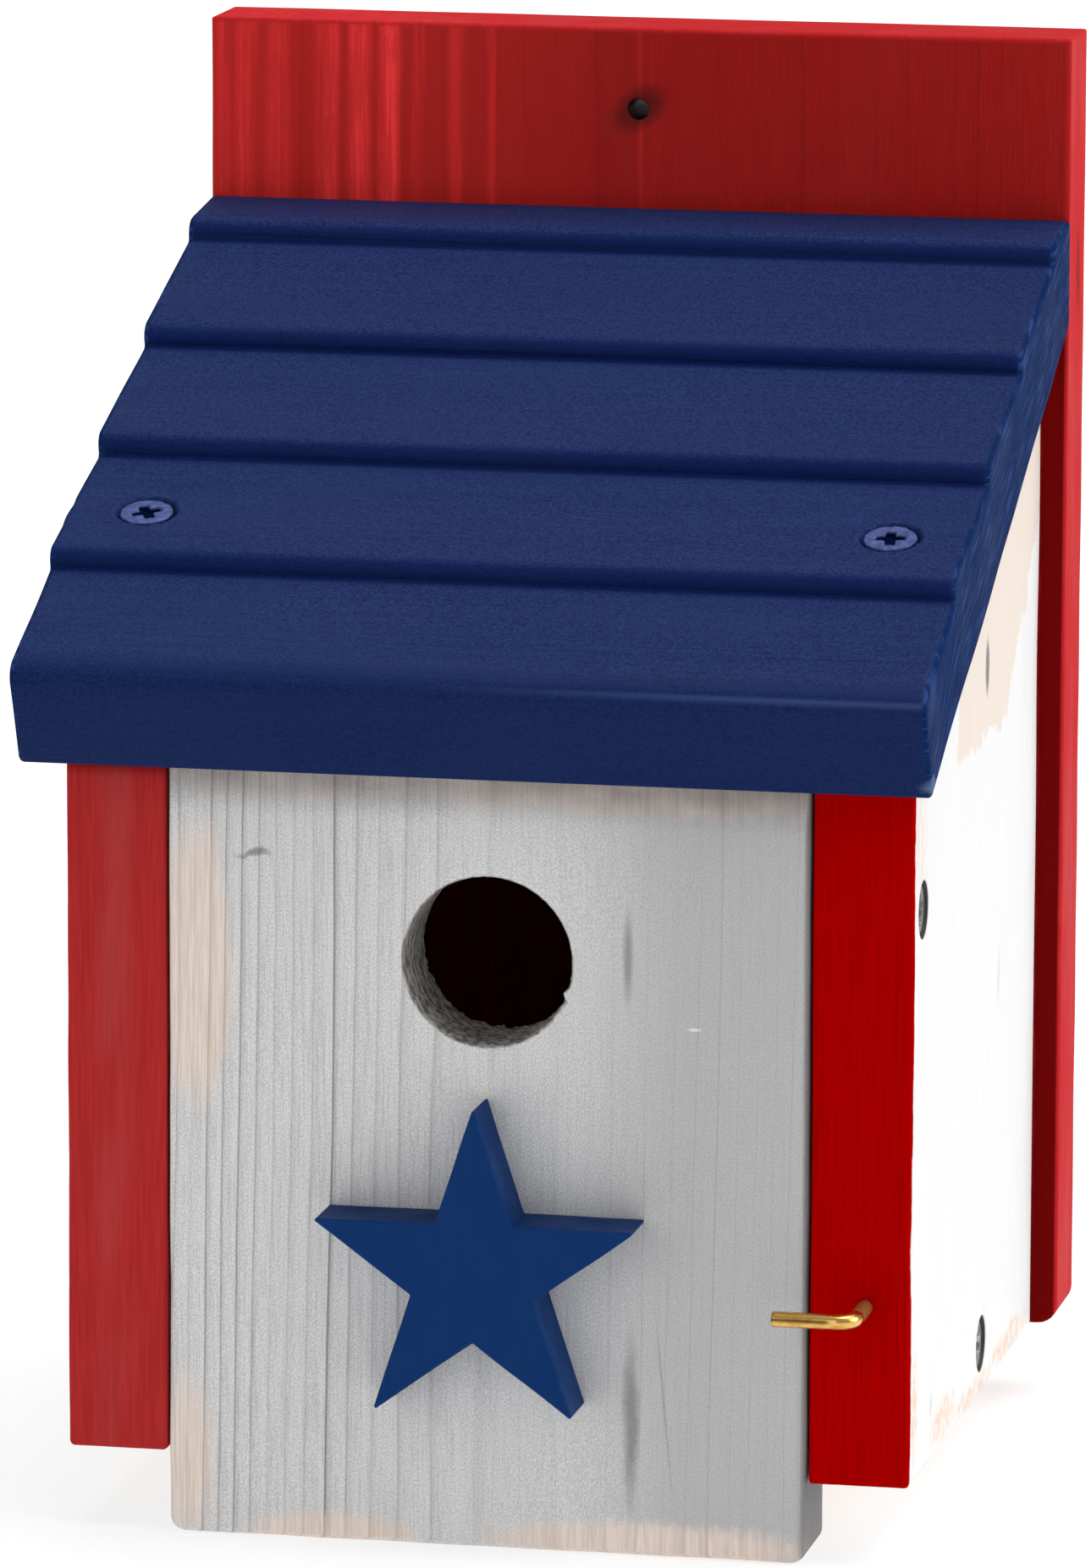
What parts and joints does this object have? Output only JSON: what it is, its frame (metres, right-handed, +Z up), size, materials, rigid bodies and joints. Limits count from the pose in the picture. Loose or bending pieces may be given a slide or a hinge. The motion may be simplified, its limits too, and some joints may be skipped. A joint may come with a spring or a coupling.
{
  "type": "birdhouse",
  "caption": "Wooden nest box with a tall screw-on back board, a sloping stepped roof, a round entrance, a swing-open front panel held by a brass hook, and a star ornament.",
  "frame": {"origin": "axis of the mounting hole, on the back face of the back board", "axes": "the front and its entrance hole face -Y, +Z is up, X runs across the box"},
  "size_m": [0.1702, 0.1801, 0.2682],
  "materials": {
    "red_paint": "brushed red paint over softwood, grain showing, worn thin in places",
    "white_paint": "thin white paint over softwood, grey grain lines, bare patches at the edges",
    "blue_paint": "satin navy paint over softwood with visible grain",
    "star_paint": "satin navy paint on a flat cut-out",
    "bare_wood": "planed bare softwood",
    "painted_screw": "thin blue paint over steel screw heads",
    "zinc_screw": "dull zinc-plated steel",
    "brass": "polished brass plating"
  },
  "bodies": {
    "house": {"back_board": "red_paint", "left_side": "white_paint", "right_side": "white_paint", "floor_board": "bare_wood", "roof_board": "blue_paint", "roof_screw_left": "painted_screw", "roof_screw_right": "painted_screw", "pivot_screw_left": "zinc_screw", "pivot_screw_right": "zinc_screw", "floor_screw_left": "zinc_screw", "floor_screw_right": "zinc_screw", "back_side_screws_left": "zinc_screw", "back_side_screws_right": "zinc_screw", "back_floor_screws": "zinc_screw", "back_roof_screws": "zinc_screw"},
    "door": {"front_panel": "white_paint", "star_ornament": "star_paint"},
    "hook": {"brass_hook": "brass"}
  },
  "joints": [
    {"name": "door_swing", "type": "hinge", "parent": "house", "child": "door", "pos_m": [0, -0.14922, -0.13], "axis": [-1, 0, 0], "range_deg": [0, 90]},
    {"name": "hook_turn", "type": "hinge", "parent": "house", "child": "hook", "pos_m": [0.071, -0.15875, -0.203], "axis": [0, 1, 0], "range_deg": [0, 450]}
  ],
  "couplings": [
    {"joint": "hook_turn", "follows": "door_swing", "ratio": 5}
  ]
}
